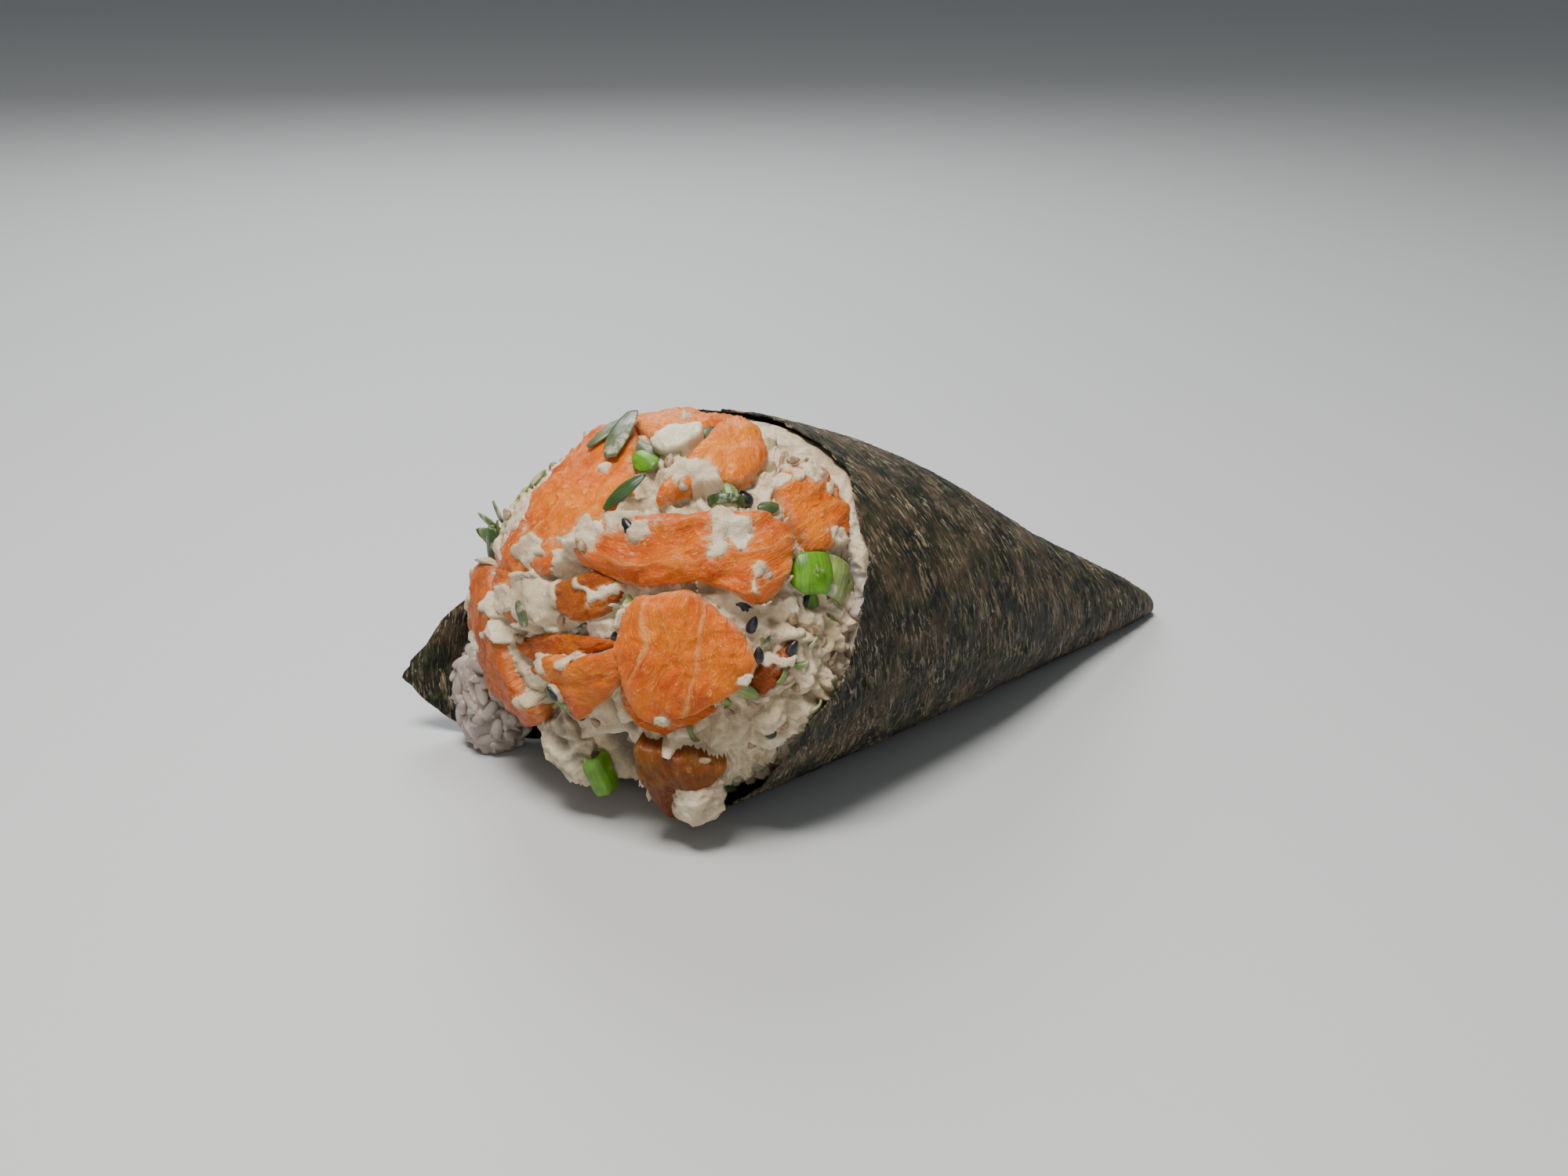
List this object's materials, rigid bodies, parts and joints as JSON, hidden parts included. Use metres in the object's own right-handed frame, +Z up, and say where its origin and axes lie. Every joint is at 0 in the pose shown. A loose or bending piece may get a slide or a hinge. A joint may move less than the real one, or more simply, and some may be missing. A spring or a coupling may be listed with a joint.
{
  "type": "temaki hand roll",
  "caption": "Cone of toasted nori lying on its side, overfilled with rice, salmon pieces and cream dressing with scallion and sesame.",
  "frame": {"origin": "on the flat strip the nori cone rests on, 30 mm tipwards of the middle of the cone's mouth", "axes": "+X from the open mouth towards the cone's tip, +Y towards the side with the loose corner of nori, +Z up from the surface it lies on"},
  "size_m": [0.1528, 0.0797, 0.0656],
  "materials": {
    "nori": "dry, fibrous, faintly glossy",
    "rice": "moist",
    "cream": "moist, lumpy",
    "salmon": "moist",
    "scallion": "fresh, waxy"
  },
  "bodies": {
    "root": {"nori_wrap": "nori", "rice": "rice", "cream_filling": "cream", "salmon_front": "salmon", "salmon_band": "salmon", "salmon_wedge": "salmon", "salmon_tuck": "salmon", "salmon_left_long": "salmon", "salmon_upper": "salmon", "salmon_crown": "salmon", "salmon_right": "salmon", "salmon_left_slab": "salmon", "salmon_left_top": "salmon", "salmon_shelf": "salmon", "salmon_under": "salmon", "salmon_low": "salmon", "salmon_sliver": "salmon", "salmon_far_high": "salmon", "salmon_far_low": "salmon", "salmon_far_top": "salmon", "scallion_ring": "scallion", "scallion_leaf": "scallion", "herb_sprig": "scallion"}
  },
  "joints": []
}
